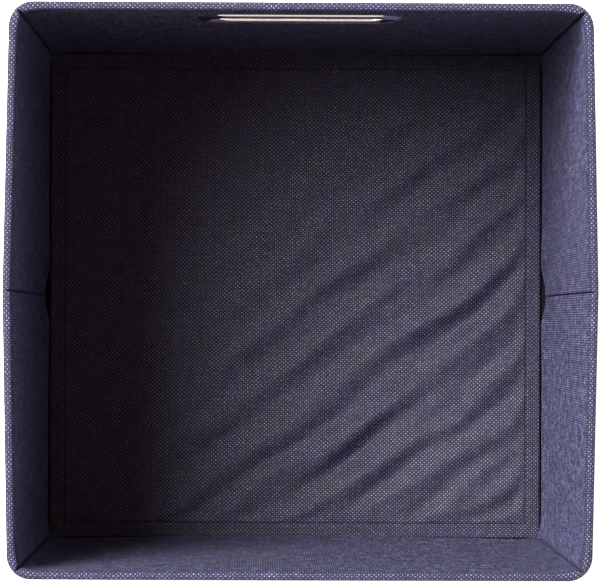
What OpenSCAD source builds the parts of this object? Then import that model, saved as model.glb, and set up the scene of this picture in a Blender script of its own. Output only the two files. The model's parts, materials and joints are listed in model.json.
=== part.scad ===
// Collapsible fabric storage bin with a metal grab handle in its front wall.
// Boards sewn between two layers of cloth make the walls. Each side wall folds
// inwards at a centre crease, which carries the front wall back against the
// back wall. A covered base insert lies loose on the cloth bottom and lifts out.
//
// Frame: the origin is the middle of the underside, +Z is up and the front wall,
// with the handle, faces -Y. Sizes are in millimetres.

/* [Bin] */
// Outer width at the corners, left to right
bin_w = 330; // [300:1:360]
// Outer depth, front to back
bin_d = 326; // [300:1:360]
// Outer height
bin_h = 325; // [260:1:360]
// How far each side wall bows out at its crease
side_bow = 3.4; // [1:0.1:5]

/* [Walls] */
// Thickness of the board inside a wall
board_t = 3; // [2:0.1:4]
// Thickness of the cloth on each face of a board
cloth_t = 0.9; // [0.6:0.1:1.2]
// How far the boards stop short of the corners, which are cloth alone
board_clear = 7; // [2:0.5:12]
// Clearance between a side wall and the wall that it is sewn to
corner_gap = 0.5; // [0.4:0.1:0.8]
// Clearance across the crease of a side wall
crease_gap = 0.6; // [0.5:0.1:1]

/* [Handle] */
// Length of the ring over its flange
ring_l = 119; // [100:1:140]
// Height of the ring over its flange
ring_h = 40; // [34:1:46]
// Width of the flange
flange_w = 7; // [6:0.5:9]
// How far the flange stands out from the cloth
flange_t = 2; // [1:0.1:2]
// Distance from the rim of the bin down to the top of the flange
ring_drop = 31; // [20:1:60]

/* [Base] */
// Thickness of the cloth bottom
bottom_t = 1.2; // [0.8:0.1:1.6]
// Gap between the base insert and the walls round it
insert_gap = 2.6; // [2.4:0.1:6]
// Thickness of the board in the insert
insert_board_t = 2.6; // [2:0.1:4]
// Thickness of the cloth on each face of the insert
insert_cloth_t = 0.6; // [0.4:0.1:0.8]
// Width of the cloth flange sewn round the insert's board
insert_flange = 8; // [6:0.5:12]

/* [Hidden] */

navy = [0.27, 0.26, 0.41];
navy_lining = [0.33, 0.32, 0.47];
greyboard = [0.62, 0.58, 0.50];
chrome = [0.82, 0.82, 0.84];

// Clearance under a part that moves over another
play = 0.3;
// Extra length that makes a cut pass right through
over = 1;

// Base insert, which lies on the cloth bottom inside the seam round its edge
insert_z = bottom_t + play;
insert_t = insert_board_t + 2 * insert_cloth_t;
seam_top = insert_z + insert_t + play;

// Walls. The folding ones pass over the seam and the insert.
wall_t = board_t + 2 * cloth_t;
fixed_h = bin_h - seam_top;
moving_z = seam_top + play;
moving_h = bin_h - moving_z;
// The front and back walls stop at the inner faces of the side walls, and a
// rolled seam of cloth fills each corner
end_w = bin_w - 2 * wall_t;

// Corner pivots lie on the inner faces, where a side wall meets the front or back
pivot_x = bin_w / 2 - wall_t;
pivot_y = bin_d / 2 - wall_t - corner_gap;
// Crease pivots lie just outside the outer faces, which meet when the walls fold
crease_x = bin_w / 2 + side_bow;
crease_out = wall_t + crease_gap / 2;
// Straight distance from corner pivot to crease pivot
link_l = norm([crease_x - pivot_x, pivot_y]);
// Tilt of a half side wall at rest, and its length from corner pivot to crease
half_tilt = asin((crease_x - pivot_x) / link_l) - asin(crease_out / link_l);
half_l = sqrt(pow(link_l, 2) - pow(crease_out, 2));
// The end at the crease stands back by the gap and by the lean of the end face
half_end = half_l - crease_gap / 2 - crease_out * tan(half_tilt);

// Handle
ring_z = bin_h - ring_drop - ring_h / 2;
spine = (ring_l - ring_h) / 2;
tube_t = 1.2;
collar_t = 1;
collar_l = 2.5;
ring_fit = 0.15;
hole_r = ring_h / 2 - flange_w;
collar_r = hole_r + tube_t + ring_fit;
slot_r = collar_r + collar_t + play;
dome_r = (pow(flange_w / 2, 2) + pow(flange_t, 2)) / (2 * flange_t);

// Outlines of the insert: its sewn edge, the cloth over its board, and the board
insert_w = bin_w - 2 * (wall_t + insert_gap);
insert_d = bin_d - 2 * (wall_t + insert_gap);
insert_r = 5;
cover_w = insert_w - 2 * insert_flange;
cover_d = insert_d - 2 * insert_flange;
cover_r = 4;
base_w = cover_w - 2 * insert_cloth_t;
base_d = cover_d - 2 * insert_cloth_t;
base_r = cover_r - insert_cloth_t;

// ---- Shapes that repeat ----

// A wall panel is drawn flat: length along +X from a corner, thickness along +Y from
// its inner face, and height along +Z from its lower edge. margin is the length of
// cloth alone at its far end.

module panel_board(length, height, margin) {
    color(greyboard)
        translate([board_clear, cloth_t, cloth_t])
            cube([length - board_clear - margin, board_t, height - 2 * cloth_t]);
}

module panel_outer_fabric(length, height, margin) {
    color(navy)
        difference() {
            translate([0, cloth_t, 0])
                cube([length, wall_t - cloth_t, height]);
            translate([board_clear, cloth_t - over, cloth_t])
                cube([length - board_clear - margin, board_t + over, height - 2 * cloth_t]);
        }
}

module panel_lining(length, height) {
    color(navy_lining)
        cube([length, cloth_t, height]);
}

// The front or back wall. side is -1 at the front and 1 at the back.
module place_end_wall(side, z) {
    mirror([0, side < 0 ? 1 : 0, 0])
        translate([-end_w / 2, bin_d / 2 - wall_t, z])
            children();
}

// Half a side wall, from its corner pivot to the crease.
// x_side is -1 on the left and 1 on the right, y_side is 1 at the rear and -1 at the front.
module place_half(x_side, y_side) {
    mirror([x_side < 0 ? 1 : 0, 0, 0])
        mirror([0, y_side < 0 ? 1 : 0, 0])
            translate([pivot_x, pivot_y, moving_z])
                rotate([0, 0, half_tilt - 90])
                    children();
}

// A prism with a stadium outline: two round ends joined by straight sides
module stadium(radius, length) {
    linear_extrude(length, center = true)
        union() {
            square([2 * spine, 2 * radius], center = true);
            for (end = [-1, 1])
                translate([end * spine, 0])
                    circle(r = radius, $fn = 96);
        }
}

// Sweeps a profile round the stadium. The profile's X is the distance from the
// middle line of the slot and its Y is the direction out of the wall.
module stadium_sweep() {
    for (end = [-1, 1]) {
        translate([end * spine, 0, 0])
            intersection() {
                rotate_extrude($fn = 96)
                    children();
                translate([end * ring_h, 0, 0])
                    cube(2 * ring_h, center = true);
            }
        mirror([0, end < 0 ? 1 : 0, 0])
            rotate([90, 0, 90])
                linear_extrude(2 * spine, center = true)
                    children();
    }
}

// Domed section of a ring's flange, standing on the line Y = 0
module flange_section() {
    intersection() {
        translate([hole_r + flange_w / 2, flange_t - dome_r])
            circle(r = dome_r, $fn = 96);
        translate([hole_r, 0])
            square([flange_w, flange_t + over]);
    }
}

module rounded_slab(width, depth, height, radius) {
    linear_extrude(height)
        union() {
            square([width - 2 * radius, depth], center = true);
            square([width, depth - 2 * radius], center = true);
            for (x = [-1, 1], y = [-1, 1])
                translate([x * (width / 2 - radius), y * (depth / 2 - radius)])
                    circle(r = radius, $fn = 48);
        }
}

// Outline of the bottom: a rectangle with cut corners, whose sides bow out to the
// creases. inset moves its sides inwards.
module bottom_outline(inset, cut) {
    x = bin_w / 2 - inset;
    y = bin_d / 2 - inset;
    quarter = [[x - cut, -y], [x, cut - y], [x + side_bow, 0], [x, y - cut], [x - cut, y]];
    polygon(concat(quarter, [for (i = [len(quarter) - 1:-1:0]) [-quarter[i][0], quarter[i][1]]]));
}

// Cuts the slot for the handle through the front wall
module with_handle_slot() {
    difference() {
        children();
        translate([0, -bin_d / 2, ring_z])
            rotate([90, 0, 0])
                stadium(slot_r, 4 * wall_t);
    }
}

// ---- Bottom ----

module bottom_panel() {
    color(navy)
        linear_extrude(bottom_t)
            bottom_outline(0, wall_t);
}

module bottom_seam() {
    color(navy)
        translate([0, 0, bottom_t])
            linear_extrude(seam_top - bottom_t)
                difference() {
                    bottom_outline(0, wall_t);
                    bottom_outline(wall_t, play);
                }
}

// ---- Back wall, fixed to the bottom ----

module back_board() {
    place_end_wall(1, seam_top)
        panel_board(end_w, fixed_h, board_clear);
}

module back_outer_fabric() {
    place_end_wall(1, seam_top)
        panel_outer_fabric(end_w, fixed_h, board_clear);
}

module back_lining() {
    place_end_wall(1, seam_top)
        panel_lining(end_w, fixed_h);
}

// ---- Front wall, with the handle ----

module front_board() {
    with_handle_slot()
        place_end_wall(-1, moving_z)
            panel_board(end_w, moving_h, board_clear);
}

module front_outer_fabric() {
    with_handle_slot()
        place_end_wall(-1, moving_z)
            panel_outer_fabric(end_w, moving_h, board_clear);
}

module front_lining() {
    with_handle_slot()
        place_end_wall(-1, moving_z)
            panel_lining(end_w, moving_h);
}

// ---- Half side walls ----

module half_board(x_side, y_side) {
    place_half(x_side, y_side)
        panel_board(half_end, moving_h, cloth_t);
}

module half_outer_fabric(x_side, y_side) {
    place_half(x_side, y_side)
        panel_outer_fabric(half_end, moving_h, cloth_t);
}

module half_lining(x_side, y_side) {
    place_half(x_side, y_side)
        panel_lining(half_end, moving_h);
}

// ---- Corners ----

// A quarter-round roll of cloth at the end of the front or back wall.
// x_side and y_side say which corner, as for a half side wall.
module corner_seam(x_side, y_side, z) {
    color(navy)
        mirror([x_side < 0 ? 1 : 0, 0, 0])
            mirror([0, y_side < 0 ? 1 : 0, 0])
                translate([end_w / 2, bin_d / 2 - wall_t, z])
                    intersection() {
                        cylinder(r = wall_t, h = bin_h - z, $fn = 48);
                        cube([2 * wall_t, 2 * wall_t, 2 * bin_h]);
                    }
}

// ---- Handle ----

// Flange on the outer face, and the tube that lines the slot
module handle_outer_ring() {
    color(chrome)
        translate([0, -bin_d / 2, ring_z])
            rotate([90, 0, 0])
                stadium_sweep()
                    union() {
                        flange_section();
                        translate([hole_r, -wall_t])
                            square([tube_t, wall_t]);
                    }
}

// Flange on the inner face, with a collar that fits round the tube
module handle_inner_ring() {
    color(chrome)
        translate([0, wall_t - bin_d / 2, ring_z])
            rotate([-90, 0, 0])
                stadium_sweep()
                    union() {
                        flange_section();
                        translate([collar_r, -collar_l])
                            square([collar_t, collar_l]);
                    }
}

// ---- Base insert ----

module base_board() {
    color(greyboard)
        translate([0, 0, insert_z + insert_cloth_t])
            rounded_slab(base_w, base_d, insert_board_t, base_r);
}

module insert_bottom_cover() {
    color(navy)
        translate([0, 0, insert_z])
            rounded_slab(insert_w, insert_d, insert_cloth_t, insert_r);
}

module insert_top_cover() {
    color(navy_lining)
        translate([0, 0, insert_z + insert_cloth_t])
            difference() {
                union() {
                    rounded_slab(insert_w, insert_d, insert_cloth_t, insert_r);
                    rounded_slab(cover_w, cover_d, insert_board_t + insert_cloth_t, cover_r);
                }
                translate([0, 0, -over])
                    rounded_slab(base_w, base_d, insert_board_t + over, base_r);
            }
}

bottom_panel();
bottom_seam();
back_board();
back_outer_fabric();
back_lining();
front_board();
front_outer_fabric();
front_lining();
half_board(-1, 1);  // left_rear_board
half_outer_fabric(-1, 1);  // left_rear_outer_fabric
half_lining(-1, 1);  // left_rear_lining
half_board(-1, -1);  // left_front_board
half_outer_fabric(-1, -1);  // left_front_outer_fabric
half_lining(-1, -1);  // left_front_lining
half_board(1, 1);  // right_rear_board
half_outer_fabric(1, 1);  // right_rear_outer_fabric
half_lining(1, 1);  // right_rear_lining
half_board(1, -1);  // right_front_board
half_outer_fabric(1, -1);  // right_front_outer_fabric
half_lining(1, -1);  // right_front_lining
corner_seam(-1, 1, seam_top);  // rear_left_corner_seam
corner_seam(1, 1, seam_top);  // rear_right_corner_seam
corner_seam(-1, -1, moving_z);  // front_left_corner_seam
corner_seam(1, -1, moving_z);  // front_right_corner_seam
handle_outer_ring();
handle_inner_ring();
base_board();
insert_top_cover();
insert_bottom_cover();
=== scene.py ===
"""Looks for a collapsible fabric storage bin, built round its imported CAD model.

The frame: +Z is up, the front wall with the handle faces -Y, and the origin is the
middle of the underside. Sizes are in metres. Each wall is a board in a sleeve of
cloth: the boards, the base board and the metal rings are CAD nodes, and the cloth
is made here as sheets that take the place of the CAD's plain ones.
"""

import json
import math

import bpy
import numpy as np
from mathutils import Matrix, Vector, noise


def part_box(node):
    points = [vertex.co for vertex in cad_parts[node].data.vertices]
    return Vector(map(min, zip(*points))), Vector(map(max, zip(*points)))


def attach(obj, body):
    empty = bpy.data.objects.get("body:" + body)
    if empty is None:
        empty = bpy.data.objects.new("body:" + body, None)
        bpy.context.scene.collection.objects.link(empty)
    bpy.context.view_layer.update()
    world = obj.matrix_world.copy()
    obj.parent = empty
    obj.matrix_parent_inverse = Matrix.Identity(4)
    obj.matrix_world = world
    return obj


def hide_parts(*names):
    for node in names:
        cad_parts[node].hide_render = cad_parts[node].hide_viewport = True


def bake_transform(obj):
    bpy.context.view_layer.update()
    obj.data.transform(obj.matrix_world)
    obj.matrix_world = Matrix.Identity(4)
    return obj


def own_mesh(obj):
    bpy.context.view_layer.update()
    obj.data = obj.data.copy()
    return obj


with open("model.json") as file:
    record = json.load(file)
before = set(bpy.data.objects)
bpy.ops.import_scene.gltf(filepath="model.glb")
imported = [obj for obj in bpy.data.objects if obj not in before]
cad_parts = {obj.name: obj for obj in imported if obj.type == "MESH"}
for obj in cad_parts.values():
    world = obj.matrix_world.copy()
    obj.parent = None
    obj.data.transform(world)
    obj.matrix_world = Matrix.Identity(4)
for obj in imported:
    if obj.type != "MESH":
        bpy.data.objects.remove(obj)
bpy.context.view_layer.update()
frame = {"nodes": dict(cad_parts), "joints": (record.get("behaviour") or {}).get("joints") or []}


# ---- Sizes read from the frame ----

def joint_place(name):
    return Vector(next(j["pos_m"] for j in frame["joints"] if j["name"] == name))


# Walls: the rim's height, the end walls' half length and faces, and the height of the feet
RIM_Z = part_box("back_lining")[1].z
END_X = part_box("back_lining")[1].x
INNER_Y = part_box("back_lining")[0].y
OUTER_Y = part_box("back_outer_fabric")[1].y
WALL_T = OUTER_Y - INNER_Y
FIXED_FOOT_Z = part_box("back_lining")[0].z
MOVING_FOOT_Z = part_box("front_lining")[0].z
# Pivots of the side walls
CORNER_Y = joint_place("right_rear_corner").y
CREASE_X = joint_place("right_crease").x
# Bottom and insert
SEAM_TOP_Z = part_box("bottom_seam")[1].z
PANEL_TOP_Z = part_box("bottom_panel")[1].z
INSERT_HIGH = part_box("insert_top_cover")[1]
INSERT_UNDER_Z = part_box("insert_bottom_cover")[0].z
BOARD_LOW, BOARD_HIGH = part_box("base_board")
# The handle's flange, whose ends are half circles
RING_LOW, RING_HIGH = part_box("handle_inner_ring")
RING_R = (RING_HIGH.z - RING_LOW.z) / 2
RING_Z = RING_LOW.z + RING_R


# ---- Sizes of the cloth ----

# Thickness of the walls' cloth, of the bottom's and the insert's, and of the welt's
CLOTH_T = 0.0006
PANEL_T = 0.0005
WELT_T = 0.0004
# Height and squareness of a wall's rim, and the rounding under its foot
RIM_R = 0.0022
RIM_POWER = 2.3
FOOT_R = 0.0012
# How far the cloth stands off a board at most, how long the loose areas are, and how far from a
# rim or foot, and from a corner, they reach their full height
LOOSE = 0.0004
LOOSE_SCALE = 0.075
LOOSE_FADE = 0.02
LOOSE_CORNER = 0.06

# The crease pivot stands this far outside the outer face
CREASE_STANDOFF = 0.0003
# How much further out a side wall's face gets for each metre towards its crease
SIDE_SLOPE = (CREASE_X - CREASE_STANDOFF - WALL_T - END_X) / CORNER_Y
# Groove of the crease: half its width, its depth down the wall and at the rim, and its lip's radius
GROOVE_HALF = 0.00035
GROOVE_DEPTH = 0.0034
GROOVE_RIM_DEPTH = 0.0025
GROOVE_LIP = 0.0013

# Where a corner's cloth meets the walls' cloth, measured from the inner corner
CORNER_REACH = 0.017
# Radius of a corner's outer face, how far its inner face comes in, and the depth of its tuck
CORNER_R = 0.0138
CORNER_DRAW = 0.0021
CORNER_TUCK = 0.0027
# Share of the tuck's depth at the plan points round the corner's diagonal
TUCK_SHAPE = np.array([0.2, 0.6, 1, 0.6, 0.2])
# Rounded end of a corner's cloth at the opened pivot: the turn in degrees at its points, its length
# as a share of a half circle's, and the cloth from point to point
NOSE_TURN = (35, 60, 80)
NOSE_LENGTH = 0.7
NOSE_STEP = 0.0004

# How far an end wall's cloth bulges inwards at the foot, and over what height. A side wall's
# bulges up to twice as far
FLARE = 0.002
FLARE_RISE = 0.035
# Room for the bulge beside a corner, where walls fold on each other: how far an end wall's cloth may
# come in at the corner, and how much more for each metre from it. Then the same for both walls together
END_ROOM = 0.0002
END_ROOM_SLOPE = 0.0165
BOTH_ROOM = 0.0003
BOTH_ROOM_SLOPE = 0.036
# Share of the bulge left at a crease, how far that goes, and over what length the bulge grows
CREASE_FLARE = 0.2
CREASE_FLARE_FROM = 0.003
CREASE_FLARE_OVER = 0.018

# How much of the wall's cloth the handle's flange hides, inwards from the flange's edge, and how
# far round it the cloth is held flat
RING_COVER = 0.003
RING_HOLD = 0.01

# The bottom's cloth: its inset from the outline and height over the floor, how slack it is on
# average and at most, and how far its edge turns up
PANEL_INSET = 0.0003
PANEL_GAP = 0.00005
PANEL_SLACK = 0.00022
PANEL_SLACK_MOST = 0.0004
PANEL_TURN_UP = 0.0007
# Radius of the welt's rounded top
WELT_R = 0.0014

# Half sizes of the insert's cover. Its sewn edge reaches beyond the CAD box, under the walls' feet
EDGE_OUT = 0.0020
COVER_X = INSERT_HIGH.x + EDGE_OUT
COVER_Y = INSERT_HIGH.y + EDGE_OUT
# Height of the sewn edge, which is raised a little, and how far in from it the board and seam are
EDGE_RISE = 0.0010
EDGE_Z = BOARD_LOW.z + CLOTH_T + EDGE_RISE
BOARD_IN = COVER_X - BOARD_HIGH.x
SEAM_IN = BOARD_IN - 0.0014
# Length of the cover's rounded corners, and the distance between its points
COVER_CORNER = 0.006
COVER_STEP = 0.0017
# Folds in the insert's cloth: their height, the share of it added to their shading, how far apart
# they are and the way they run
WRINKLE = 0.0038
FOLD_CREASE = 0.5
FOLD_PITCH = 0.028
FOLD_WAY = Vector((-0.80, -0.60, 0)).normalized()
# Bends in the folds' lines: how far they go, over what length, and a number for the noise
FOLD_BENDS = ((0.010, 0.13, 3.1), (0.003, 0.04, 8.0))
# Shares of WRINKLE in the folds and in small creases, how far the mesh's folds are lifted off the
# board where the cloth is slackest, and the highest of them
FOLD_SHARE = 0.40
CREASE_SHARE = 0.30
FOLD_LIFT = 0.45
FOLD_MOST = 1.2
# The way in which the cloth gets slacker, over what length, and the share of its folds at the other end
SLACK_WAY = (-0.8, 0.6)
SLACK_OVER = 0.19
SLACK_LEAST = 0.1
# Unevenness of the whole cover, the cloth's least height over the board, and the sewn edge's ripple
UNEVEN = 0.0003
LEAST_LIFT = 0.0002
RIPPLE = 0.0002
# The folded walls stand at the back of the insert. Over STACK_FADE from STACK_Y the mesh's folds
# shrink to about STACK_WRINKLE
STACK_Y = INNER_Y - 0.042
STACK_FADE = 0.014
STACK_WRINKLE = 0.0005

# Stitches of the insert's seam
STITCH_PITCH = 0.0036
STITCH_LENGTH = 0.0027
STITCH_R = 0.00022
STITCH_SIDES = 8

# Weave: distance between neighbouring threads along and across the rim
THREAD_U = 0.00137
THREAD_V = 0.00126
THREAD_RELIEF = 0.0002
# How far a thread wanders, as a share of that distance
THREAD_SWAY = 0.5
# The plain cloth under the bin
FINE_THREAD = 0.0008


# ---- Meshes ----

def smooth(t):
    t = np.clip(t, 0, 1)
    return t * t * (3 - 2 * t)


def spaced(start, end, count, ease=0.6):
    """Numbers from start to end, closer together at both ends."""
    t = np.linspace(0, 1, count)
    eased = (1 - np.cos(math.pi * t)) / 2
    return start + (end - start) * ((1 - ease) * t + ease * eased)


def noise_at(points, scale, offset=0.0):
    """Smooth noise from about -1 to 1 at each point, with features about that scale long."""
    flat = np.asarray(points, float).reshape(-1, 3) / scale + offset
    values = np.array([noise.noise(p) for p in flat])
    return values.reshape(np.shape(points)[:-1])


def in_plan(x, y):
    """Points at height 0."""
    return np.dstack([x, y, 0 * x])


def object_from(name, points, faces, uvs=None):
    """A smooth-shaded object. uvs gives each face's corners their place on the cloth."""
    mesh = bpy.data.meshes.new(name)
    mesh.from_pydata([tuple(p) for p in points], [], [tuple(f) for f in faces])
    if uvs is not None:
        layer = mesh.uv_layers.new(name="weave")
        layer.data.foreach_set("uv", np.asarray(uvs, np.float32).ravel())
    mesh.shade_smooth()
    piece = bpy.data.objects.new(name, mesh)
    bpy.context.scene.collection.objects.link(piece)
    return piece


def thicken(piece, thickness, sharp=50):
    """Gives a sheet its thickness, behind the face that shows."""
    solid = piece.modifiers.new("thickness", "SOLIDIFY")
    solid.thickness = thickness
    solid.offset = -1
    graph = bpy.context.evaluated_depsgraph_get()
    mesh = bpy.data.meshes.new_from_object(piece.evaluated_get(graph))
    piece.modifiers.clear()
    piece.data = mesh
    mesh.set_sharp_from_angle(angle=math.radians(sharp))


def lattice(name, points, uvs, closed=(False, True), flip=False, thickness=CLOTH_T, hole=None,
            fold=None):
    """A sheet through rows and columns of points, closed round in either direction. uvs has one
    more row or column than points where it closes. It is one table of places on the cloth, or
    two and the row where the second takes over. Quads whose points are all in hole are left out.
    fold is the height of small folds that are left to the material, at each point."""
    rows, columns = points.shape[:2]
    i, j = np.meshgrid(np.arange(rows - 1 + closed[0]), np.arange(columns - 1 + closed[1]),
                       indexing="ij")
    i, j = i.ravel(), j.ravel()
    below, beside = (i + 1) % rows, (j + 1) % columns
    quads = np.stack([i * columns + j, below * columns + j,
                      below * columns + beside, i * columns + beside], axis=1)
    first, second, switch = uvs if isinstance(uvs, tuple) else (uvs, uvs, rows)
    place = [np.where((i < switch)[:, None], first[a, b], second[a, b])
             for a, b in ((i, j), (i + 1, j), (i + 1, j + 1), (i, j + 1))]
    corners = np.stack(place, axis=1)
    if hole is not None:
        kept = ~hole.ravel()[quads].all(axis=1)
        quads, corners = quads[kept], corners[kept]
    if flip:
        quads, corners = quads[:, ::-1], corners[:, ::-1]
    used, quads = np.unique(quads, return_inverse=True)
    piece = object_from(name, points.reshape(-1, 3)[used], quads.reshape(-1, 4), corners)
    if fold is not None:
        layer = piece.data.attributes.new("fold", "FLOAT", "POINT")
        layer.data.foreach_set("value", fold.ravel()[used].astype(np.float32))
    thicken(piece, thickness)
    return piece


def table(u, v):
    """Places on the cloth for a lattice whose rows have their own u and columns their own v."""
    return np.stack(np.broadcast_arrays(u, v), axis=2)


def upright(plan, height):
    """Points of a lattice from its points in plan and the height of each column."""
    level = np.broadcast_to(height[None, :, None], plan.shape[:2] + (1,))
    return np.concatenate([plan, level], axis=2)


def distances(points, start):
    """Distance along a line of points, counted from start at its first point."""
    steps = np.linalg.norm(np.diff(points, axis=0), axis=1)
    return start + np.concatenate([[0], np.cumsum(steps)])


# ---- Cloth sleeves round the wall boards ----

def wall_section(foot_z, height_steps=88, rim_steps=14, foot_steps=8):
    """Section of a sleeve as a closed loop: up the inner face, over the rim, down the outer
    face and back under the foot. For each point: its share of the way from the inner face to
    the outer one, its height, and its distance along the cloth from the middle of the rim."""
    face = spaced(foot_z + FOOT_R, RIM_Z - RIM_R, height_steps)
    turn = np.linspace(0, math.pi, rim_steps + 1)[1:-1]
    over = np.sign(np.cos(turn)) * np.abs(np.cos(turn)) ** (2 / RIM_POWER)
    rise = np.sin(turn) ** (2 / RIM_POWER)
    under = np.linspace(0, math.pi, foot_steps)[1:-1]
    share = np.concatenate([
        np.zeros(height_steps), 0.5 - 0.5 * over,
        np.ones(height_steps), 0.5 + 0.5 * np.cos(under)])
    height = np.concatenate([
        face, RIM_Z - RIM_R + RIM_R * rise,
        face[::-1], foot_z + FOOT_R * (1 - np.sin(under))])
    steps = np.hypot(np.diff(share) * WALL_T, np.diff(height))
    along = np.concatenate([[0], np.cumsum(steps)])
    middle = np.interp(0.5, share[:height_steps + rim_steps], along[:height_steps + rim_steps])
    return share, height, along - middle


def near_ring(points):
    """1 on the handle's rings and 0 from RING_HOLD away."""
    across = np.maximum(np.abs(points[..., 0]) - (RING_HIGH.x - RING_R), 0)
    away = np.hypot(across, points[..., 2] - RING_Z) - RING_R
    return 1 - smooth(away / RING_HOLD)


def flare(points):
    """How far the cloth inside a wall bulges in at its foot. It narrows the gap round the insert,
    and leaves room at the corners and creases for the walls to fold."""
    x, y, z = np.abs(points[..., 0]), np.abs(points[..., 1]), points[..., 2]
    on_side = x - END_X > y - INNER_Y - 0.0001
    from_corner = np.where(on_side, CORNER_Y - y, END_X - x)
    on_end = np.minimum(FLARE, END_ROOM + END_ROOM_SLOPE * from_corner)
    left_for_side = BOTH_ROOM + BOTH_ROOM_SLOPE * from_corner - on_end
    bulge = np.where(on_side, np.minimum(2 * FLARE, left_for_side), on_end)
    from_crease = smooth((y - CREASE_FLARE_FROM) / CREASE_FLARE_OVER)
    kept = np.where(on_side, CREASE_FLARE + (1 - CREASE_FLARE) * from_crease, 1)
    return np.maximum(bulge, 0) * kept * (1 - smooth((z - MOVING_FOOT_Z) / FLARE_RISE))


def loose_cloth(points, share):
    """How far the cloth stands off the board, none at the rims, the feet, the corners and the rings."""
    x, y, z = points[..., 0], points[..., 1], points[..., 2]
    broad = 0.5 + 0.5 * noise_at(points, LOOSE_SCALE)
    fine = 0.25 * noise_at(points, LOOSE_SCALE / 3.5, 7.3)
    from_corner = np.hypot(END_X - np.abs(x), CORNER_Y - np.abs(y))
    mask = smooth((RIM_Z - RIM_R - z) / LOOSE_FADE) * smooth((z - MOVING_FOOT_Z) / LOOSE_FADE)
    mask = mask * np.clip(from_corner / LOOSE_CORNER, 0, 1)
    mask = np.where(y < 0, mask * (1 - near_ring(points)), mask)
    on_inside, on_outside = share < 0.001, share > 0.999
    stand = LOOSE * np.clip(broad + fine, 0, 1.2) * mask * (on_inside | on_outside)
    return stand + flare(points) * on_inside


def sleeve(name, inner, outer, along, foot_z, groove=None, mitre=None, hole=None):
    """A sleeve of cloth through pairs of plan points on the inner and outer faces. along holds
    the distance along the cloth at each inner and outer point, or two such pairs for a sleeve
    mitred at a plan point. groove gives how far the inner face is drawn back at each plan point
    and height. hole moves the points at an opening and tells which are inside it."""
    share, height, across = wall_section(foot_z)
    inner, outer = np.asarray(inner, float), np.asarray(outer, float)
    outwards = outer - inner
    outwards = outwards / np.linalg.norm(outwards, axis=1)[:, None]
    drawn = groove(inner, height) if groove else np.zeros((len(inner), len(share)))
    start = inner[:, None] + drawn[..., None] * outwards[:, None]
    points = upright(start + (outer[:, None] - start) * share[None, :, None], height)
    stand = loose_cloth(points, share[None, :]) * np.where(share > 0.5, 1, -1)
    points[..., :2] += stand[..., None] * outwards[:, None]
    inside = None
    if hole:
        points, inside = hole(points)

    around = np.append(share, share[0])
    v = np.append(across, across[-1] + WALL_T / 8)[None]
    uvs = [table(a[:, None] * (1 - around) + b[:, None] * around, v) for a, b in along]
    ahead, inwards = inner[1] - inner[0], inner[0] - outer[0]
    return lattice(name, points, (*uvs, mitre) if mitre else uvs[0], hole=inside,
                   flip=ahead[1] * inwards[0] < ahead[0] * inwards[1])


def side_inner_x(y):
    """Distance from the middle to a side wall's inner face. It bows out to the crease."""
    return END_X + (CORNER_Y - np.abs(y)) * SIDE_SLOPE


def crease_groove(inner, height):
    """Depth of the crease's groove at each plan point and height."""
    from_crease = np.abs(inner[:, 1])
    lip = np.clip(from_crease - GROOVE_HALF, 0, GROOVE_LIP)
    shoulder = GROOVE_LIP - np.sqrt(GROOVE_LIP ** 2 - (GROOVE_LIP - lip) ** 2)
    near_rim = smooth((height - (RIM_Z - 0.012)) / 0.01)
    depth = GROOVE_DEPTH + (GROOVE_RIM_DEPTH - GROOVE_DEPTH) * near_rim
    inside = (from_crease <= GROOVE_HALF)[:, None]
    return np.where(inside, depth[None, :], shoulder[:, None])


def side_wall(side):
    """Cloth of a whole side wall, which bends at the crease. side is -1 on the left and 1 on the right."""
    name = "left" if side < 0 else "right"
    reach = INNER_Y - CORNER_REACH
    groove = [0, 0.0002, GROOVE_HALF, GROOVE_HALF + 0.00002, 0.0005, 0.0008, 0.0012, 0.0018, 0.003]
    half = np.concatenate([groove, spaced(0.005, reach, 48, 0.3)])
    y = np.concatenate([half[::-1], -half[1:]])
    inner_x = side_inner_x(y)
    inner = np.stack([side * inner_x, y], axis=1)
    outer = np.stack([side * (inner_x + WALL_T), y], axis=1)
    piece = sleeve(f"{name}_wall_cloth", inner, outer, [(y, y)], MOVING_FOOT_Z, crease_groove)
    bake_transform(piece)
    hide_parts(*[f"{name}_{half_name}_{layer}"
                         for half_name in ("rear", "front") for layer in ("outer_fabric", "lining")])
    return piece


def ring_hole(points):
    """Draws the cloth back to a line under the ring's flange, and tells which points are in the slot."""
    radius = RING_R - RING_COVER
    across = np.clip(points[..., 0], RING_R - RING_HIGH.x, RING_HIGH.x - RING_R)
    away = np.stack([points[..., 0] - across, points[..., 2] - RING_Z], axis=2)
    distance = np.linalg.norm(away, axis=2)
    inside = distance < radius
    edge = away / np.maximum(distance, 1e-6)[..., None] * radius
    drawn = points.copy()
    drawn[..., 0] = np.where(inside, across + edge[..., 0], points[..., 0])
    drawn[..., 2] = np.where(inside, RING_Z + edge[..., 1], points[..., 2])
    return drawn, inside


def end_wall(name, side, body, foot_z, count, hole=None):
    """Cloth of the back or front wall, with count plan points. side is 1 at the back and -1 at the front."""
    reach = END_X - CORNER_REACH
    x = spaced(-reach, reach, count, 0.2)
    inner = np.stack([x, np.full(count, side * INNER_Y)], axis=1)
    outer = np.stack([x, np.full(count, side * OUTER_Y)], axis=1)
    piece = sleeve(f"{name}_wall_cloth", inner, outer, [(x, x)], foot_z, hole=hole)
    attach(piece, body)
    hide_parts(f"{name}_outer_fabric", f"{name}_lining")
    return piece


# ---- Corners, where the cloth turns from one wall to the next ----

# Plan points of half a corner on its straight part and round its turn. The last is on the mitre
STRAIGHT_STEPS = 4
TURN_STEPS = 13
MITRE = STRAIGHT_STEPS + TURN_STEPS - 1


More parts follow.
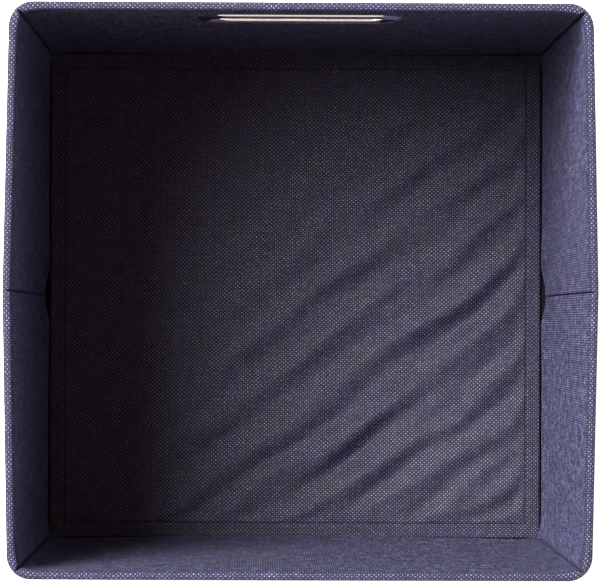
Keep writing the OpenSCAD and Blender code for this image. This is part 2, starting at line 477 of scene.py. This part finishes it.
def half_corner_plan(begin, centre, apex, face_in, face_out, out_centre):
    """Inner and outer points as distances along and across one wall, up to the diagonal. begin,
    centre and apex are where the corner's cloth, its turn and its diagonal are along the wall."""
    turn = np.linspace(0, math.pi / 4, TURN_STEPS)
    straight = begin + np.arange(STRAIGHT_STEPS) / STRAIGHT_STEPS * (centre - begin)
    along_out = np.concatenate([straight, centre + CORNER_R * np.sin(turn)])
    across_out = np.concatenate([np.full(STRAIGHT_STEPS, face_out), out_centre + CORNER_R * np.cos(turn)])
    share = np.sin(turn) / math.sin(math.pi / 4)
    along_in = np.concatenate([straight, centre + (apex - centre) * share])
    drawn = CORNER_DRAW * ((along_in - begin) / (apex - begin)) ** 2
    return np.stack([along_in, face_in - drawn], axis=1), np.stack([along_out, across_out], axis=1)


def corner_plan():
    """Plan points of a corner's cloth at +x and +y, from the end wall round to the side wall.
    The point numbered MITRE is on the corner's diagonal, where the inner face has a tuck."""
    begin = Vector((END_X - CORNER_REACH, INNER_Y - CORNER_REACH))
    centre = Vector((END_X + WALL_T - CORNER_R, OUTER_Y - CORNER_R))
    apex = Vector((END_X - CORNER_DRAW, INNER_Y - CORNER_DRAW))
    end_in, end_out = half_corner_plan(begin.x, centre.x, apex.x, INNER_Y, OUTER_Y, centre.y)
    side_in, side_out = half_corner_plan(begin.y, centre.y, apex.y, END_X, END_X + WALL_T, centre.x)
    for points in (side_in, side_out):
        still = np.clip(1 - (points[:, 0] - begin.y) / (apex.y - begin.y), 0, 1)
        points[:, 1] += (side_inner_x(begin.y) - END_X) * still
    inner = np.concatenate([end_in, side_in[::-1, ::-1][1:]])
    outer = np.concatenate([end_out, side_out[::-1, ::-1][1:]])
    half = len(TUCK_SHAPE) // 2
    inner[MITRE - half:MITRE + half + 1] += (TUCK_SHAPE * CORNER_TUCK * math.sqrt(0.5))[:, None]
    return inner, outer


def corner_lines(x_side, y_side):
    """A corner's inner and outer plan points, and the distances along the cloth at them, counted
    with the end wall's threads and with the side wall's."""
    lines = [points * np.array([x_side, y_side]) for points in corner_plan()]
    on_end = [x_side * distances(points, END_X - CORNER_REACH) for points in lines]
    on_side = [y_side * distances(points[::-1], INNER_Y - CORNER_REACH)[::-1] for points in lines]
    return lines, on_end, on_side


def corner_sheet(name, lines, along, mitre=None):
    piece = sleeve(name, *lines, along, MOVING_FOOT_Z, mitre=mitre)
    return piece


def folding_corner(row, side_name):
    """A corner's cloth. Each side of its mitre has the threads of its own wall."""
    x_side = -1 if side_name == "left" else 1
    y_side = 1 if row == "rear" else -1
    lines, on_end, on_side = corner_lines(x_side, y_side)
    piece = corner_sheet(f"{row}_{side_name}_corner_cloth", lines, [on_end, on_side],
                         MITRE)
    if row == "rear":
        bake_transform(piece)
    else:
        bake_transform(piece)
    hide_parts(f"{row}_{side_name}_corner_seam")
    return piece


def nose(inner, outer, ahead):
    """Plan points that close a sleeve's end with a rounded nose."""
    middle = (inner + outer) / 2
    radius = np.linalg.norm(outer - inner) / 2
    angle = np.radians(NOSE_TURN)[:, None]
    return [middle + (edge - middle) * np.cos(angle) + ahead * radius * NOSE_LENGTH * np.sin(angle)
            for edge in (inner, outer)]


def half_corner(name, x_side, y_side, at_end):
    """The part of a corner's cloth on the end wall or the side wall, with a nose at the diagonal."""
    lines, on_end, on_side = corner_lines(x_side, y_side)
    ahead = np.array([x_side, -y_side] if at_end else [-x_side, y_side]) * math.sqrt(0.5)
    tips = nose(lines[0][MITRE], lines[1][MITRE], ahead)
    grow = NOSE_STEP * np.arange(1, len(NOSE_TURN) + 1) * (x_side if at_end else y_side)
    if at_end:
        lines = [np.concatenate([line[:MITRE + 1], tip]) for line, tip in zip(lines, tips)]
        along = [np.concatenate([a[:MITRE + 1], a[MITRE] + grow]) for a in on_end]
    else:
        lines = [np.concatenate([tip[::-1], line[MITRE:]]) for line, tip in zip(lines, tips)]
        along = [np.concatenate([a[MITRE] + grow[::-1], a[MITRE:]]) for a in on_side]
    return corner_sheet(name, lines, [along])


def opened_corner():
    """The corner where the loop of walls is cut for the joints. Its cloth is in two parts that
    meet on the mitre, each with a rounded end inside the other."""
    front_part = half_corner("front_right_corner_cloth", 1, -1, at_end=True)
    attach(front_part, "front")
    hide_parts("front_right_corner_seam")
    side_part = half_corner("right_front_corner_cloth", 1, -1, at_end=False)
    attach(side_part, "right_front")
    return [front_part, side_part]


# ---- Bottom and the welt that the walls stand on ----

def outline_at(inset):
    """Points round the bottom, inset from its edge, with rounded corners and sides that bow out
    to the creases."""
    x = END_X + WALL_T - inset
    y = OUTER_Y - inset
    radius = max(CORNER_R - inset, 0.0006)
    bow = SIDE_SLOPE * CORNER_Y
    turn = np.radians(np.linspace(0, 90, 9))
    along_side = np.linspace(0, y - radius, 60)[:-1]
    along_end = np.linspace(x - radius, 0, 50)[1:]
    side = np.stack([x + bow * (1 - along_side / y), along_side], axis=1)
    corner = np.stack([x - radius + radius * np.cos(turn), y - radius + radius * np.sin(turn)], axis=1)
    end = np.stack([along_end, np.full(len(along_end), y)], axis=1)
    quarter = np.concatenate([side, corner, end])
    half = np.concatenate([quarter, (quarter * [-1, 1])[::-1][1:]])
    return np.concatenate([half, (half * [1, -1])[::-1][1:-1]])


def bottom_sheet():
    """The bottom's cloth, slack by a fraction of a millimetre and turned up at its edge."""
    rings = np.concatenate([np.linspace(1, 0.94, 7), np.linspace(0.9, 0.02, 30)])
    plan = outline_at(PANEL_INSET)[None] * rings[:, None, None]
    slack = PANEL_SLACK * (1 + noise_at(in_plan(plan[..., 0], plan[..., 1]), 0.05))
    slack = np.clip(slack, 0, PANEL_SLACK_MOST) * smooth((1 - rings) / 0.1)[:, None]
    edge = PANEL_TURN_UP * (1 - np.sqrt(1 - smooth((rings - 0.98) / 0.02) ** 2))[:, None]
    level = PANEL_GAP + slack + edge
    uvs = np.concatenate([plan, plan[:, :1]], axis=1)
    piece = lattice("bottom_cloth", np.dstack([plan, level]), uvs, thickness=PANEL_T)
    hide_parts("bottom_panel")
    return piece


def bottom_welt():
    """A rounded welt round the bottom, on which the walls stand."""
    inner_line, outer_line = outline_at(WALL_T), outline_at(0)
    turn = np.linspace(0, math.pi, 9)
    low, high = PANEL_TOP_Z - 0.0006, SEAM_TOP_Z - 0.0001
    share = np.concatenate([[0, 0], 0.5 - 0.5 * np.cos(turn), [1, 1], [0.66, 0.33]])
    height = np.concatenate([[low, high - 2 * WELT_R], high - WELT_R + WELT_R * np.sin(turn),
                             [high - 2 * WELT_R, low], [low, low]])
    plan = inner_line[:, None] + (outer_line - inner_line)[:, None] * share[None, :, None]
    steps = np.hypot(np.diff(share, append=share[0]) * WALL_T, np.diff(height, append=height[0]))
    around = np.concatenate([[0], np.cumsum(steps)])
    length = distances(np.concatenate([outer_line, outer_line[:1]]), 0)
    piece = lattice("bottom_welt_cloth", upright(plan, height), table(length[:, None], around[None]),
                    closed=(True, True), thickness=WELT_T, flip=True)
    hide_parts("bottom_seam")
    return piece


def bottom_pieces():
    """The bottom's cloth and the welt, which go with the back and bottom."""
    pieces = [bottom_sheet(), bottom_welt()]
    for piece in pieces:
        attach(piece, "back_and_bottom")
        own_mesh(piece)
    return pieces


# ---- Insert: a padded board in a cover of two cloths sewn together round its edge ----

def cover_profile():
    """Inset from the insert's edge and height of the top cover, over the sewn edge, the seam and
    on to the board."""
    return np.array([
        (0, EDGE_Z - 0.0012), (0.0002, EDGE_Z - 0.0006), (0.0006, EDGE_Z - 0.0002), (0.0014, EDGE_Z),
        (0.003, EDGE_Z), (0.0045, EDGE_Z + 0.0001), (0.006, EDGE_Z + 0.0003),
        (SEAM_IN - 0.0008, EDGE_Z + 0.0006), (SEAM_IN - 0.0003, EDGE_Z + 0.0006),
        (SEAM_IN, EDGE_Z + 0.00055),
        (SEAM_IN + 0.0003, EDGE_Z + 0.0008), (SEAM_IN + 0.0008, EDGE_Z + 0.0012),
        (BOARD_IN - 0.0001, INSERT_HIGH.z - 0.0001), (BOARD_IN + 0.0006, INSERT_HIGH.z)])


def squared_off(x, y):
    """Rounds the corners of the cover's rectangular grid, less and less towards its outline."""
    straight_x, straight_y = COVER_X - COVER_CORNER, COVER_Y - COVER_CORNER
    a, b = np.abs(x) - straight_x, np.abs(y) - straight_y
    in_corner = (a > 0) & (b > 0)
    a, b = np.maximum(a, 1e-9), np.maximum(b, 1e-9)
    away = np.maximum(a, b)
    power = 3.5 + 4 * (away / COVER_CORNER) ** 2
    scale = away / (a ** power + b ** power) ** (1 / power)
    x = np.where(in_corner, np.sign(x) * (straight_x + a * scale), x)
    y = np.where(in_corner, np.sign(y) * (straight_y + b * scale), y)
    return x, y


def cover_plan(lines_x, lines_y):
    """Plan of a cover with grid lines at these places, and each point's inset from its edge."""
    x, y = np.meshgrid(lines_x, lines_y, indexing="ij")
    inset = np.minimum(COVER_X - np.abs(x), COVER_Y - np.abs(y))
    return *squared_off(x, y), inset


def wrinkles(x, y):
    """Folds of the slack cloth, up and down from its mean height, and how slack it is from 0 to 1.
    They are deepest towards the rear left."""
    flat = in_plan(x, y)
    along = x * FOLD_WAY.x + y * FOLD_WAY.y
    across = x * FOLD_WAY.y - y * FOLD_WAY.x
    drift = sum(size * noise_at(flat, length, seed) for size, length, seed in FOLD_BENDS)
    strength = 0.68 + 1.05 * noise_at(in_plan(along / 1.9, across), 0.03, 11.0)
    fold = np.sin((across + drift) * 2 * math.pi / FOLD_PITCH)
    small = noise_at(in_plan(along / 4, across + drift), 0.011, 5.0)
    deep = smooth(0.5 + (SLACK_WAY[0] * x + SLACK_WAY[1] * y) / SLACK_OVER)
    height = WRINKLE * (FOLD_SHARE * strength * fold + CREASE_SHARE * small)
    uneven = UNEVEN * noise_at(flat, 0.05, 1.7)
    return height * (SLACK_LEAST + (1 - SLACK_LEAST) * deep) + uneven, deep


def insert_top():
    """The insert's top cover. The mesh has the part of the folds that stands above the board, and
    the material's relief has the rest."""
    profile = cover_profile()

    def lines(reach):
        inner = reach - profile[-1, 0]
        middle = np.linspace(-inner, inner, int(2 * inner / COVER_STEP))
        edge = reach - profile[:-1, 0]
        return np.concatenate([-edge, middle, edge[::-1]])

    x, y, inset = cover_plan(lines(COVER_X), lines(COVER_Y))
    height = np.interp(inset, profile[:, 0], profile[:, 1])
    folds, deep = wrinkles(x, y)
    on_board = smooth((inset - BOARD_IN + 0.001) / 0.008)
    lifted = folds + WRINKLE * FOLD_LIFT * deep + LEAST_LIFT
    raised = np.clip(lifted, 0, WRINKLE * FOLD_MOST) * on_board
    under_stack = smooth((y - STACK_Y) / STACK_FADE)
    slack = raised * (1 - under_stack) + STACK_WRINKLE * under_stack * raised / WRINKLE
    on_edge = smooth(inset / 0.002) * smooth((SEAM_IN - 0.001 - inset) / 0.002)
    ripple = RIPPLE * (0.5 + 0.5 * noise_at(in_plan(x, y), 0.02)) * on_edge
    piece = lattice("insert_top_cloth", np.dstack([x, y, height + slack + ripple]), np.dstack([x, y]),
                    closed=(False, False), thickness=PANEL_T,
                    fold=folds * on_board * (1 + FOLD_CREASE) - slack)
    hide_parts("insert_top_cover")
    return piece


def insert_bottom():
    """The insert's flat bottom cover."""

    def lines(reach, first=0.0005, count=110):
        return np.concatenate([[-reach], np.linspace(first - reach, reach - first, count), [reach]])

    x, y, inset = cover_plan(lines(COVER_X), lines(COVER_Y))
    under = INSERT_UNDER_Z + 0.00005 * np.exp(-inset / 0.0003)
    piece = lattice("insert_bottom_cloth", np.dstack([x, y, under]), np.dstack([x, y]),
                    closed=(False, False), flip=True, thickness=PANEL_T)
    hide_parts("insert_bottom_cover")
    return piece


def stitch_places(reach_x, reach_y, level, corner=0.003):
    """Middle and direction of each stitch round a rectangle."""
    places = []
    for side, reach, far in (((1, 0), reach_x, reach_y), ((0, 1), reach_y, reach_x)):
        count = int(2 * (reach - corner) / STITCH_PITCH)
        for step in np.linspace(corner - reach, reach - corner, count):
            for edge in (-far, far):
                middle = (step, edge) if side[0] else (edge, step)
                places.append((Vector((*middle, level)), Vector((*side, 0))))
    return places


def insert_stitches():
    """Short lengths of thread along the seam, each dipping into the cloth at both ends."""
    share = np.linspace(-1, 1, 7)
    turn = np.linspace(0, 2 * math.pi, STITCH_SIDES, endpoint=False)
    up = Vector((0, 0, 1))
    points, faces = [], []
    for middle, ahead in stitch_places(COVER_X - SEAM_IN, COVER_Y - SEAM_IN, EDGE_Z + 0.00045):
        start = len(points)
        across = ahead.cross(up)
        for t in share:
            width = STITCH_R * math.sqrt(max(1 - t ** 4, 0.04))
            spine = middle + ahead * (t * STITCH_LENGTH / 2) + up * (STITCH_R * (0.9 - 1.4 * t ** 4))
            points += [spine + across * (width * math.cos(a)) + up * (width * math.sin(a)) for a in turn]
        last = len(points) - STITCH_SIDES
        for ring in range(start, last, STITCH_SIDES):
            for k in range(STITCH_SIDES):
                a, b = ring + k, ring + (k + 1) % STITCH_SIDES
                faces.append((a, b, b + STITCH_SIDES, a + STITCH_SIDES))
        faces.append(tuple(range(start + STITCH_SIDES - 1, start - 1, -1)))
        faces.append(tuple(range(last, last + STITCH_SIDES)))
    piece = object_from("insert_stitches", points, faces)
    return piece


def insert_pieces():
    pieces = [insert_top(), insert_bottom(), insert_stitches()]
    for piece in pieces:
        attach(piece, "insert")
    return pieces


# ---- Materials ----

class Nodes:
    """Short ways to add and link the nodes of a material or a world."""

    def __init__(self, owner):
        self.tree = owner.node_tree
        self.tree.nodes.clear()

    def add(self, kind, inputs=None, **settings):
        node = self.tree.nodes.new(kind)
        for key, value in settings.items():
            setattr(node, key, value)
        for key, value in (inputs or {}).items():
            self.put(node.inputs[key], value)
        return node

    def put(self, socket, value):
        if isinstance(value, bpy.types.NodeSocket):
            self.tree.links.new(value, socket)
        else:
            socket.default_value = value

    def math(self, operation, a, b=0.0, c=0.0):
        node = self.add("ShaderNodeMath", operation=operation)
        for socket, value in zip(node.inputs, (a, b, c)):
            self.put(socket, value)
        return node.outputs[0]

    def ramp(self, value, low, high, to_low=0.0, to_high=1.0, kind="SMOOTHSTEP"):
        node = self.add("ShaderNodeMapRange", {
            "Value": value, "From Min": low, "From Max": high, "To Min": to_low, "To Max": to_high},
            interpolation_type=kind)
        return node.outputs["Result"]

    def mix(self, share, a, b, blend="MIX"):
        node = self.add("ShaderNodeMix", data_type="RGBA", blend_type=blend)
        self.put(node.inputs["Factor"], share)
        self.put(node.inputs["A"], a)
        self.put(node.inputs["B"], b)
        return node.outputs["Result"]

    def noise(self, vector, scale, detail=2.0, roughness=0.5):
        node = self.add("ShaderNodeTexNoise", {
            "Vector": vector, "Scale": scale, "Detail": detail, "Roughness": roughness})
        return node.outputs["Fac"]

    def vector(self, x, y, z=0.0):
        return self.add("ShaderNodeCombineXYZ", {"X": x, "Y": y, "Z": z}).outputs[0]

    def random(self, vector):
        node = self.add("ShaderNodeTexWhiteNoise", {"Vector": vector}, noise_dimensions="2D")
        return node.outputs["Value"]

    def scale(self, shade, factor):
        node = self.add("ShaderNodeVectorMath", operation="SCALE")
        self.put(node.inputs[0], shade)
        self.put(node.inputs["Scale"], factor)
        return node.outputs[0]

    def place(self):
        """Place on the object."""
        return self.add("ShaderNodeTexCoord").outputs["Object"]

    def cloth_place(self):
        """Place on the cloth, and its distances along and across the rim."""
        uv = self.add("ShaderNodeUVMap", uv_map="weave").outputs["UV"]
        place = self.add("ShaderNodeSeparateXYZ", {"Vector": uv})
        return uv, place.outputs["X"], place.outputs["Y"]

    def finish(self, **inputs):
        """Ends a material in a Principled shader with these inputs."""
        named = {key.replace("_", " "): value for key, value in inputs.items()}
        shader = self.add("ShaderNodeBsdfPrincipled", named)
        self.add("ShaderNodeOutputMaterial", {"Surface": shader.outputs[0]})


def new_material(name):
    material = bpy.data.materials.new(name)
    material.use_nodes = True
    return material, Nodes(material)


def colour(r, g, b):
    return (r, g, b, 1.0)


# Pale floats, navy floats and the gaps between threads, on the walls and on the insert
WALL_SHADES = (colour(0.112, 0.114, 0.200), colour(0.024, 0.023, 0.056), colour(0.008, 0.0072, 0.020))
INSERT_SHADES = (colour(0.092, 0.089, 0.157), colour(0.0145, 0.0125, 0.033),
                 colour(0.0075, 0.006, 0.015))
# The rim's cloth is a little bluer than the lining
RIM_TINT = colour(0.94, 1.03, 1.06)
# How much the white floor shines by itself, which keeps the bin's shadow on it faint
FLOOR_GLOW = 0.9


def thread_wave(n, uv, u, v):
    """Which column and row of threads a place is on, and a wave that is 1 in the middle of a pale
    float and -1 in the middle of a navy one. Threads wander a little."""
    sway_u = n.math("MULTIPLY_ADD", n.noise(uv, 420, 1.0), THREAD_SWAY, -THREAD_SWAY / 2)
    sway_v = n.math("MULTIPLY_ADD", n.noise(n.vector(v, u), 380, 1.0), THREAD_SWAY, -THREAD_SWAY / 2)
    column = n.math("ADD", n.math("DIVIDE", u, THREAD_U), sway_u)
    row = n.math("ADD", n.math("DIVIDE", v, THREAD_V), n.math("ADD", sway_v, 0.5))
    wave = n.math("MULTIPLY", n.math("SINE", n.math("MULTIPLY", column, math.pi)),
                  n.math("SINE", n.math("MULTIPLY", row, math.pi)))
    return column, row, wave


def slubs(n, uv, u, v, heather, calm_rim):
    """Brightness of the cloth's patches and of the slubs along both sets of threads, 1 where they
    are even. calm_rim makes them weaker on the rim."""
    def spread(value, low, high, amount):
        return n.ramp(value, low, high, 1 - amount, 1 + amount, "LINEAR")

    along_u = n.noise(n.vector(n.math("MULTIPLY", u, 70), n.math("MULTIPLY", v, 330)), 1.0, 2.0)
    along_v = n.noise(n.vector(n.math("MULTIPLY", u, 330), n.math("MULTIPLY", v, 48), 5.0), 1.0, 2.0)
    crossed = n.math("MULTIPLY", spread(along_u, 0.33, 0.67, heather), spread(along_v, 0.33, 0.67, heather))
    broad = spread(n.noise(uv, 95, 2.0), 0.32, 0.68, 0.65 * heather)
    patch = n.math("MULTIPLY", broad, crossed)
    off_rim = n.ramp(n.math("ABSOLUTE", v), 0.004, 0.012, 0.25, 1.0) if calm_rim else 1.0
    return n.math("MULTIPLY_ADD", n.math("SUBTRACT", patch, 1.0), off_rim, 1.0)


def float_shade(n, u, column, row, pale, slub):
    """Colour of the pale floats. Each float and each thread has its own brightness, and some
    floats are bluer."""
    cell = n.vector(n.math("FLOOR", column), n.math("FLOOR", row))
    each_float = n.ramp(n.random(cell), 0, 1, 0.68, 1.3, "LINEAR")
    thread_noise = n.noise(n.vector(n.math("MULTIPLY", u, 90), n.math("FLOOR", row)), 1.0, 2.0)
    each_thread = n.ramp(thread_noise, 0.3, 0.7, 1 - slub, 1 + slub)
    bluer = n.ramp(n.random(n.vector(n.math("FLOOR", row), n.math("FLOOR", column))), 0.55, 1.0)
    blue = colour(pale[0] * 0.5, pale[1] * 0.65, pale[2])
    shade = n.mix(n.math("MULTIPLY", bluer, 0.45), pale, blue)
    return n.scale(shade, n.math("MULTIPLY", each_float, each_thread))


def weave_bump(n, u, v, wave):
    """Relief of the floats, which all stand up and have fibres along them, on top of the folds."""
    fibre = n.noise(n.vector(n.math("MULTIPLY", u, 2.0), v), 4200, 2.0)
    relief = n.math("ADD", n.math("POWER", n.math("ABSOLUTE", wave), 0.6), n.math("MULTIPLY", fibre, 0.25))
    folds = n.add("ShaderNodeAttribute", attribute_name="fold").outputs["Fac"]
    crease = n.add("ShaderNodeBump", {"Height": folds, "Strength": 1.0, "Distance": 1.0})
    bump = n.add("ShaderNodeBump", {"Height": relief, "Strength": 0.8, "Distance": THREAD_RELIEF,
                                    "Normal": crease.outputs[0]})
    return bump.outputs[0]


def weave_cloth(name, pale, mid, dark, heather=0.3, slub=0.25, sheen=0.0, lining=None):
    """Plain weave of pale and navy threads, so that pale floats show as staggered dots. heather
    and slub are how much the cloth's patches and its threads differ, and lining is painted light:
    how much paler a wall's cloth is painted inside the bin than at its rim, standing in for the
    brightness the inner faces pick up at a grazing view."""
    material, n = new_material(name)
    uv, u, v = n.cloth_place()
    column, row, wave = thread_wave(n, uv, u, v)
    pale_float = n.ramp(wave, 0.22, 0.85)
    ground = n.mix(n.ramp(wave, -0.1, -0.85), dark, mid)
    threads = n.mix(pale_float, ground, float_shade(n, u, column, row, pale, slub))
    shade = n.scale(threads, slubs(n, uv, u, v, heather, calm_rim=lining is not None))
    # Painted light: the inner faces are painted lining times paler, for the brightness they show at a
    # grazing view. The rim and outer faces take RIM_TINT instead.
    if lining:
        inside = n.mix(n.ramp(v, -0.004, -0.012), RIM_TINT, colour(lining, lining, lining))
        shade = n.mix(1.0, shade, inside, "MULTIPLY")
    n.finish(Base_Color=shade, Roughness=n.ramp(pale_float, 0, 1, 0.7, 0.45, "LINEAR"),
             Normal=weave_bump(n, u, v, wave), Specular_IOR_Level=0.3,
             Sheen_Weight=sheen, Sheen_Roughness=0.35, Sheen_Tint=colour(0.58, 0.56, 0.95))
    return material


def plain_cloth(name, shade):
    """Fine dark cloth with a matt face."""
    material, n = new_material(name)
    uv, u, v = n.cloth_place()
    wave = n.math("MULTIPLY", n.math("SINE", n.math("MULTIPLY", u, math.pi / FINE_THREAD)),
                  n.math("SINE", n.math("MULTIPLY", v, math.pi / FINE_THREAD)))
    gaps = colour(*[0.6 * channel for channel in shade[:3]])
    patch = n.ramp(n.noise(uv, 120, 3.0), 0.3, 0.7, 0.75, 1.25)
    bump = n.add("ShaderNodeBump", {"Height": n.math("ABSOLUTE", wave), "Strength": 0.6,
                                    "Distance": 0.0001})
    n.finish(Base_Color=n.scale(n.mix(n.ramp(wave, -1, 1), gaps, shade), patch),
             Roughness=n.ramp(wave, -1, 1, 0.8, 0.7, "LINEAR"), Normal=bump.outputs[0],
             Specular_IOR_Level=0.08)
    return material


def cardboard(name):
    """Grey pressed board with flecks of fibre."""
    material, n = new_material(name)
    fleck = n.ramp(n.noise(n.place(), 900, 3.0, 0.7), 0.45, 0.7)
    cloud = n.noise(n.place(), 60, 3.0)
    base = n.mix(cloud, colour(0.30, 0.26, 0.20), colour(0.40, 0.36, 0.29))
    bump = n.add("ShaderNodeBump", {"Height": fleck, "Strength": 0.4, "Distance": 0.0001})
    n.finish(Base_Color=n.mix(n.math("MULTIPLY", fleck, 0.5), base, colour(0.16, 0.14, 0.12)),
             Roughness=n.ramp(cloud, 0, 1, 0.8, 0.92, "LINEAR"), Normal=bump.outputs[0])
    return material


def chrome(name):
    """Bright plating with faint handling marks."""
    material, n = new_material(name)
    smear = n.noise(n.place(), 140, 3.0)
    mark = n.noise(n.place(), 2400, 2.0)
    bump = n.add("ShaderNodeBump", {"Height": mark, "Strength": 0.05, "Distance": 0.00004})
    n.finish(Base_Color=n.mix(smear, colour(0.93, 0.87, 0.79), colour(0.85, 0.80, 0.73)),
             Metallic=1.0, Roughness=n.ramp(smear, 0.3, 0.7, 0.05, 0.12), Normal=bump.outputs[0])
    return material


def thread(name):
    """Twisted navy sewing thread."""
    material, n = new_material(name)
    twist = n.noise(n.place(), 2500, 1.0)
    n.finish(Base_Color=n.mix(twist, colour(0.025, 0.022, 0.045), colour(0.05, 0.045, 0.08)),
             Roughness=n.ramp(twist, 0, 1, 0.45, 0.65, "LINEAR"))
    return material


def pale_floor(name):
    """White sweep that shines a little by itself."""
    material, n = new_material(name)
    n.finish(Base_Color=colour(0.86, 0.86, 0.86), Roughness=0.9,
             Emission_Color=colour(1.0, 1.0, 1.0), Emission_Strength=FLOOR_GLOW)
    return material


def give(piece, material):
    piece.data.materials.clear()
    piece.data.materials.append(material)


def give_walls(piece, end_material, side_material):
    """Gives the end walls and the side walls their own copy of the cloth, out from each corner's diagonal.
    The copies differ a little in patchiness and, as painted light, in how much paler their inner faces are
    painted, to match how each pair of walls is lit.
    """
    mesh = piece.data
    mesh.materials.clear()
    mesh.materials.append(end_material)
    mesh.materials.append(side_material)
    centres = np.empty(3 * len(mesh.polygons))
    mesh.polygons.foreach_get("center", centres)
    centres = np.abs(centres.reshape(-1, 3))
    on_side = centres[:, 0] - END_X > centres[:, 1] - INNER_Y
    mesh.polygons.foreach_set("material_index", on_side.astype(np.int32))


def give_node(name, material):
    """A CAD node keeps its mesh, and its material slots take the new material."""
    node = frame["nodes"][name]
    if not node.material_slots:
        node.data.materials.append(material)
    for slot in node.material_slots:
        slot.material = material


# ---- Pieces ----

# Plan points of the plain back wall, and of the front wall with its slot
BACK_STEPS = 98
FRONT_STEPS = 190

# The end and side walls' cloths differ in heather and slub, and in painted light: their lining factors paint
# the inner faces paler by different amounts, as lit and shaded copies of one cloth.
end_cloth = weave_cloth("navy_weave", *WALL_SHADES, heather=0.58, slub=0.45, sheen=0.03, lining=1.38)
side_cloth = weave_cloth("navy_weave_side", *WALL_SHADES, heather=0.48, slub=0.4, sheen=0.03, lining=2.10)
insert_cloth = weave_cloth("insert_weave", *INSERT_SHADES, heather=0.12)
# Painted shade: the bottom's cloth is made near-black so that the gap round the insert reads as deep shade.
under_cloth_painted_shade = plain_cloth("under_cloth_painted_shade", colour(0.006, 0.0055, 0.009))

wall_cloths = [
    end_wall("back", 1, "back_and_bottom", FIXED_FOOT_Z, BACK_STEPS),
    end_wall("front", -1, "front", MOVING_FOOT_Z, FRONT_STEPS, ring_hole),
    side_wall(-1), side_wall(1),
    folding_corner("rear", "left"), folding_corner("rear", "right"), folding_corner("front", "left"),
    *opened_corner()]
bottom_cloth, welt = bottom_pieces()
for piece in (*wall_cloths, welt):
    give_walls(piece, end_cloth, side_cloth)
give(bottom_cloth, under_cloth_painted_shade)
top_cover, bottom_cover, stitches = insert_pieces()
give(top_cover, insert_cloth)
give(bottom_cover, insert_cloth)
give(stitches, thread("navy_thread"))

greyboard = cardboard("greyboard")
plating = chrome("chrome")
for node_name in frame["nodes"]:
    if node_name.endswith("_board"):
        give_node(node_name, greyboard)
    elif node_name.endswith("_ring"):
        give_node(node_name, plating)


# ---- Studio ----

CAMERA_AT = (0.0221, 0.0178, 2.391)
CAMERA_AIM = (-0.0030, -0.0026, 0.0)
CAMERA_ROLL = -0.21
LENS = 220.2
KEY_AT = (1.42, -1.10, 2.92)
KEY_SIZE = (1.6, 2.15)
KEY_POWER = 362
SKY_LOW = colour(0.80, 0.80, 0.80)
SKY_HIGH = colour(0.66, 0.47, 0.41)
SKY_STRENGTH = 1.14
FLOOR_REACH = 6


def aimed(name, data, place, aim, roll=0.0):
    """A camera or light that looks from a place to another, with -Y at the top of its view, and
    turned by roll degrees."""
    piece = bpy.data.objects.new(name, data)
    bpy.context.scene.collection.objects.link(piece)
    piece.location = place
    back = (Vector(place) - Vector(aim)).normalized()
    across = Vector((0, -1, 0)).cross(back).normalized()
    rise = back.cross(across)
    turn = math.radians(roll)
    right = across * math.cos(turn) - rise * math.sin(turn)
    top = across * math.sin(turn) + rise * math.cos(turn)
    matrix = np.array([right, top, back]).T
    piece.rotation_euler = Matrix(matrix.tolist()).to_euler()
    return piece


def add_camera():
    data = bpy.data.cameras.new("camera")
    data.lens = LENS
    data.sensor_width = 36
    data.clip_start = 0.05
    bpy.context.scene.camera = aimed("camera", data, CAMERA_AT, CAMERA_AIM, CAMERA_ROLL)


def add_key_light():
    """A large soft light from the front right."""
    data = bpy.data.lights.new("key", "AREA")
    data.shape = "ELLIPSE"
    data.size, data.size_y = KEY_SIZE
    data.energy = KEY_POWER
    data.color = (1.0, 0.985, 0.97)
    key = aimed("key", data, KEY_AT, (0, 0, RIM_Z))
    key.visible_camera = False


def add_sky():
    """Soft light from all round, darker and warmer overhead."""
    world = bpy.data.worlds.new("studio")
    world.use_nodes = True
    n = Nodes(world)
    way = n.add("ShaderNodeSeparateXYZ", {"Vector": n.add("ShaderNodeTexCoord").outputs["Generated"]})
    sky = n.mix(n.ramp(way.outputs["Z"], 0.1, 0.75), SKY_LOW, SKY_HIGH)
    background = n.add("ShaderNodeBackground", {"Color": sky, "Strength": SKY_STRENGTH})
    n.add("ShaderNodeOutputWorld", {"Surface": background.outputs[0]})
    bpy.context.scene.world = world


def add_floor():
    corners = [(x * FLOOR_REACH, y * FLOOR_REACH, 0) for x, y in ((-1, -1), (1, -1), (1, 1), (-1, 1))]
    floor = object_from("floor", corners, [(0, 1, 2, 3)])
    give(floor, pale_floor("pale_floor"))


bpy.context.scene.view_settings.view_transform = "Standard"
add_camera()
add_key_light()
add_sky()
add_floor()
